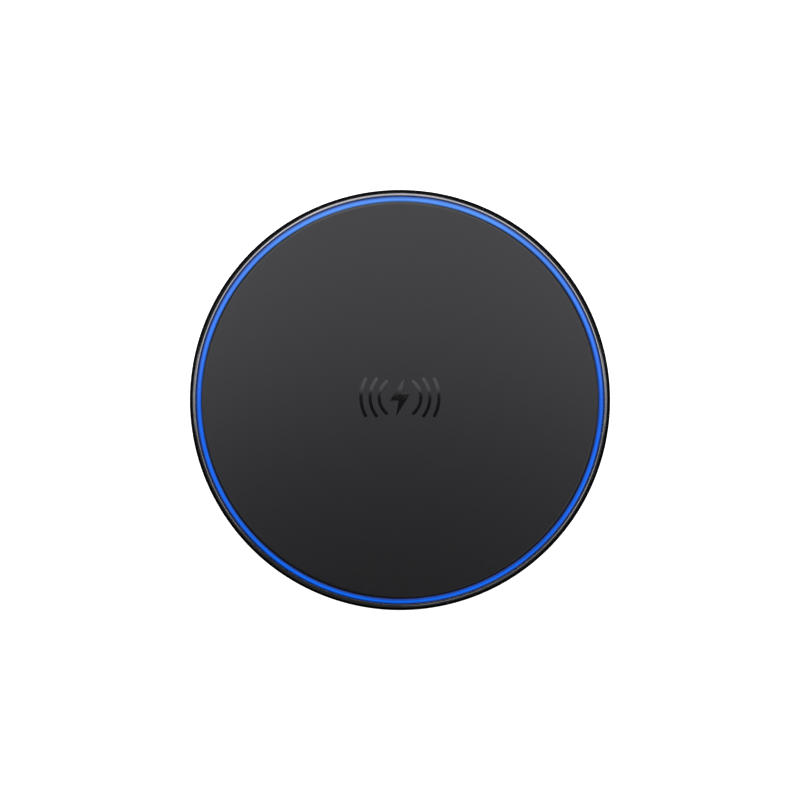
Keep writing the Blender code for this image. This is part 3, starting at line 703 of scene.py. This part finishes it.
def coil_path():
    """The wire's middle line: in under the turns, up to the innermost turn, outwards turn by turn,
    and off the outermost turn down to the board."""
    high = FILM_HIGH.z + 0.1 + WIRE_RADIUS
    low = SEAT_ON_BOARD + WIRE_RADIUS
    rise = high - low
    along_slot = ((LEAD_END, LEAD_ROWS[0]), (25, 0), (18, 0), (12, 0), (9.6, 0.3))
    lead_in = [Vector((x, y, low)) for x, y in along_slot]
    for degrees, radius, share in ((14, 7.9, 0.05), (38, 8.1, 0.25), (66, 9.0, 0.65), (94, 10.1, 0.95)):
        lead_in.append(on_circle(radius, degrees, low + rise * share))
    first_deg, last_deg, pitch, inner = 120, 3565, 1.12, 10.8
    steps = 700
    turns = []
    for i in range(steps + 1):
        turned = (last_deg - first_deg) * i / steps
        turns.append(on_circle(inner + pitch * turned / 360, first_deg + turned, high))
    over = ((20.6, -8.6, 1), (23.2, -6.3, 1), (25.8, -5.3, 1), (28.4, -5, 0.3),
            (LEAD_END, LEAD_ROWS[1], 0))
    lead_out = [Vector((x, y, low + rise * share)) for x, y, share in over]
    return (smooth_through([*lead_in, turns[0]], 6)[:-1] + turns[:-1]
            + smooth_through([turns[-1], *lead_out], 6))


def make_coil():
    """The coil's wire as a twisted bundle of strands, with a groove between each two strands."""
    strands, sides_per_strand, lay, groove_depth = 7, 3, 26.0, 0.10
    sides = strands * sides_per_strand
    path = coil_path()
    bm = bmesh.new()
    rings, travelled = [], 0.0
    for i, here in enumerate(path):
        before, after = path[max(i - 1, 0)], path[min(i + 1, len(path) - 1)]
        travelled += (here - before).length
        tangent = (after - before).normalized()
        across = tangent.cross(Vector((0, 0, 1))).normalized()
        upward = across.cross(tangent)
        ring = []
        for j in range(sides):
            a = math.tau * (j / sides + travelled / lay)
            radius = WIRE_RADIUS * (1 - groove_depth * (j % sides_per_strand == 0))
            out = (across * math.cos(a) + upward * math.sin(a)) * radius
            ring.append(bm.verts.new((here + out) * MM))
        rings.append(ring)
    for a, b in zip(rings, rings[1:]):
        for j in range(sides):
            k = (j + 1) % sides
            bm.faces.new([a[j], a[k], b[k], b[j]])
    bm.faces.new(rings[0])
    bm.faces.new(rings[-1])
    piece("coil_wire", as_mesh("coil_wire", bm, 80), [COPPER], ["charging_coil"])


def make_sensor():
    """The heat sensor: a bead of resin on two short leads."""
    bead, centre = 1.1, 5.2
    neck, neck_low = 0.42, 4.45
    outline = [Vector((0, neck_low)), Vector((neck, neck_low)), *arc(0, centre, bead, bead, -64, 90, 14)]
    outline[-1] = Vector((0, centre + bead))
    piece("sensor_bead", as_mesh("sensor_bead", lathe(outline, SMALL_STEPS, ring=False)),
          [RESIN], ["thermistor"])
    leads = at_places(lambda: cylinder(0.12, BOARD_HIGH.z, neck_low + 0.15, 12),
                      [(0.24, 0), (-0.24, 0)])
    piece("sensor_leads", as_mesh("sensor_leads", leads), [SOLDER])


# ---------------------------------------------------------------- parts on the board
# Each part is made of blocks, whose heights start from where the part's body stands. Its metal ends
# and pins start lower, on the board.
PIN_START = BOARD_HIGH.z - SEAT_ON_BOARD


def make_component(name, node, finishes, parts, turn_deg=0.0):
    """One part on the board, made of blocks and put where its CAD node is."""
    place = middle(node)
    piece(name, as_mesh(name, blocks(parts)), finishes, [node],
          (place.x, place.y, SEAT_ON_BOARD), turn_deg)


def two_ends(x, y, size, bevel):
    """A metal block at (x, y) and its like on the other side of the middle."""
    return [((side * x, side * y, PIN_START), size, bevel, METAL) for side in (-1, 1)]


def make_chips():
    """The controller with pins on four sides, and the two power switches with pins on two."""
    dot_height, dot_thickness = 0.86, 0.03
    chip = [((0, 0, -0.02), (4.9, 4.9, 0.90), 0.07, BODY),
            ((-1.9, 1.9, dot_height), (0.4, 0.4, dot_thickness), 0.01, METAL)]
    pins, pitch, edge = 8, 0.55, 2.42
    for i in range(pins):
        along = (i - (pins - 1) / 2) * pitch
        for side in (-1, 1):
            chip.append(((along, side * edge, PIN_START), (0.26, 0.30, 0.30), 0.02, METAL))
            chip.append(((side * edge, along, PIN_START), (0.30, 0.26, 0.30), 0.02, METAL))
    make_component("control_chip", "controller_chip", [RESIN, SOLDER], chip, 45)
    switch = [((0, 0, -0.02), (3.1, 3.0, 0.90), 0.08, BODY),
              ((-1.1, 1.05, dot_height), (0.3, 0.3, dot_thickness), 0.01, METAL)]
    pins, pitch, edge = 4, 0.75, 1.45
    for i in range(pins):
        along = (i - (pins - 1) / 2) * pitch
        for side in (-1, 1):
            switch.append(((along, side * edge, PIN_START), (0.36, 0.40, 0.32), 0.03, METAL))
    for number in (1, 2):
        make_component(f"drive_switch_{number}", f"power_switch_{number}",
                       [RESIN, SOLDER], switch, -25)


def make_power_parts():
    """The choke and the two capacitors of the power input, and the four that tune the coil."""
    choke = [((0, 0, 0.04), (4.1, 4.1, 1.92), 0.38, BODY), *two_ends(1.75, 0, (0.7, 2.6, 0.5), 0.05)]
    make_component("input_choke", "input_inductor", [FERRITE, SOLDER], choke)
    small = [((0, 0, 0.02), (1.52, 2.5, 1.14), 0.06, BODY), *two_ends(0, 1.35, (1.6, 0.5, 1.3), 0.08)]
    for number in (1, 2):
        make_component(f"input_filter_{number}", f"input_capacitor_{number}",
                       [CERAMIC, SOLDER], small)
    large = [((0, 0, 0.02), (2.3, 2.42, 1.84), 0.08, BODY), *two_ends(1.3, 0, (0.6, 2.5, 2.0), 0.1)]
    for number, degrees in enumerate((-15, -5, 5, 15), 1):
        make_component(f"tuning_capacitor_{number}", f"resonant_capacitor_{number}",
                       [CERAMIC, SOLDER], large, degrees)


def make_lamps():
    """The ring of lamps that light the guide from below, each with a lens on top."""
    lamp = [((0, 0, 0.0), (1.36, 2.3, 0.58), 0.05, BODY),
            ((0, 0, 0.55), (0.95, 1.6, 0.12), 0.04, GLASS),
            *two_ends(0, 1.3, (1.2, 0.4, 0.45), 0.03)]
    for number in range(LAMP_COUNT):
        make_component(f"blue_lamp_{number + 1}", f"ring_led_{number + 1}",
                       [LAMP, SOLDER, LENS], lamp, 360 * (number + 0.5) / LAMP_COUNT)


# ---------------------------------------------------------------- stage
FLOOR_PLACE = (0.37, -0.61, -0.00003)  # off centre, and just below the foot
FLOOR_HALF_WIDTH = 3.0
FLOOR_GLOW = 1.0
WORLD_GLOW = 0.08
LIGHT_COLOUR = (0.98, 0.98, 1.06)
SIDE_LIGHTS = (  # name, distance from the middle, place back and up, size and radiance
    ("rear_softbox", 0.105, 0.178, 0.259, (0.09, 0.350), 1.88),
    ("softbox", 0.145, 0.085, 0.234, (0.06, 0.407), 2.40),
)
AIMED_LIGHTS = (  # name, azimuth and elevation in degrees, distance, size and radiance
    ("back_upper_strip", 97, 60, 0.40, (0.30, 0.10), 2.5),
    ("back_lower_strip", 97, 28, 0.45, (0.30, 0.17), 2.7),
    ("right_strip", 3, 22, 0.45, (0.16, 0.17), 1.65),
    ("left_strip", 177, 22, 0.45, (0.16, 0.17), 1.65),
    ("front_strip", 306, 50, 0.42, (0.36, 0.10), 1.5),
)
FRAME_WIDTH = 0.1906  # across the view at the height of the bezel's lower side
FOCAL_LENGTH, SENSOR = 100.0, 36.0


def make_floor():
    """A pale floor that is clear from below, so that the pad's underside can be looked at."""
    bm = bmesh.new()
    bmesh.ops.create_grid(bm, x_segments=1, y_segments=1, size=FLOOR_HALF_WIDTH)
    mesh = bpy.data.meshes.new("floor")
    bm.to_mesh(mesh)
    bm.free()
    floor = bpy.data.objects.new("floor", mesh)
    bpy.context.scene.collection.objects.link(floor)
    floor.location = FLOOR_PLACE
    finish = bpy.data.materials.new("pale floor")
    finish.use_nodes = True
    tree = finish.node_tree
    shader = tree.nodes["Principled BSDF"]
    shader.inputs["Base Color"].default_value = (0.86, 0.86, 0.86, 1.0)
    shader.inputs["Roughness"].default_value = 0.9
    shader.inputs["Specular IOR Level"].default_value = 0.1
    shader.inputs["Emission Color"].default_value = (1.0, 1.0, 1.0, 1.0)
    shader.inputs["Emission Strength"].default_value = FLOOR_GLOW
    clear = add(tree, "BsdfTransparent")
    mix = add(tree, "MixShader", {0: add(tree, "NewGeometry").outputs["Backfacing"],
                                  1: shader.outputs[0], 2: clear.outputs[0]})
    tree.links.new(mix.outputs[0], tree.nodes["Material Output"].inputs["Surface"])
    mesh.materials.append(finish)


def softbox(name, place, size, radiance):
    """A soft rectangular light that faces down and isn't seen itself."""
    light = bpy.data.lights.new(name, "AREA")
    light.shape = "RECTANGLE"
    light.size, light.size_y = size
    light.energy = radiance * math.pi * size[0] * size[1]
    light.color = LIGHT_COLOUR
    made = bpy.data.objects.new(name, light)
    bpy.context.scene.collection.objects.link(made)
    made.location = place
    made.visible_camera = False
    return made


def aimed(name, azimuth_deg, elevation_deg, distance, size, radiance):
    """A softbox turned to face the pad from a direction."""
    a, e = math.radians(azimuth_deg), math.radians(elevation_deg)
    where = Vector((math.cos(e) * math.cos(a), math.cos(e) * math.sin(a), math.sin(e))) * distance
    made = softbox(name, where, size, radiance)
    made.rotation_euler = (-where).to_track_quat("-Z", "Y").to_euler()


def make_lights():
    """Softboxes above the back and the sides, which shade the plate, aimed strips, which the bezel
    and the plate's edge reflect, and a faint light from all round."""
    softbox("rear_softbox", (0, 0.1780, 0.259), (0.12, 0.350), 1.14)
    for side, word in ((-1, "left"), (1, "right")):
        for name, sideways, back, up, size, radiance in SIDE_LIGHTS:
            softbox(f"{word}_{name}", (side * sideways, back, up), size, radiance)
    for light in AIMED_LIGHTS:
        aimed(*light)
    world = bpy.data.worlds.new("studio")
    world.use_nodes = True
    background = world.node_tree.nodes["Background"]
    background.inputs["Color"].default_value = (1.0, 1.0, 1.0, 1.0)
    background.inputs["Strength"].default_value = WORLD_GLOW
    bpy.context.scene.world = world


def make_camera():
    """The camera, straight above the pad's middle."""
    scene = bpy.context.scene
    camera = bpy.data.objects.new("camera", bpy.data.cameras.new("camera"))
    scene.collection.objects.link(camera)
    camera.data.lens, camera.data.sensor_width = FOCAL_LENGTH, SENSOR
    camera.location = (0, 0, BEZEL_LOW.z * MM + FRAME_WIDTH * FOCAL_LENGTH / SENSOR)
    camera.data.clip_start, camera.data.clip_end = 0.01, 20
    scene.camera = camera
    scene.view_settings.view_transform = "Standard"


make_base()
make_foot()
make_label()
make_cover()
make_mark()
make_guide()
make_bezel()
make_screws()
make_board()
make_socket_shell()
make_socket_tongue()
make_slotted("ferrite_disc", "ferrite_shield", FERRITE, 9.4, 25.5, 0.08)
make_slotted("coil_sheet", "coil_film", FILM, 9.8, 25.0, 0.03)
make_coil()
make_sensor()
make_chips()
make_power_parts()
make_lamps()
make_floor()
make_lights()
make_camera()
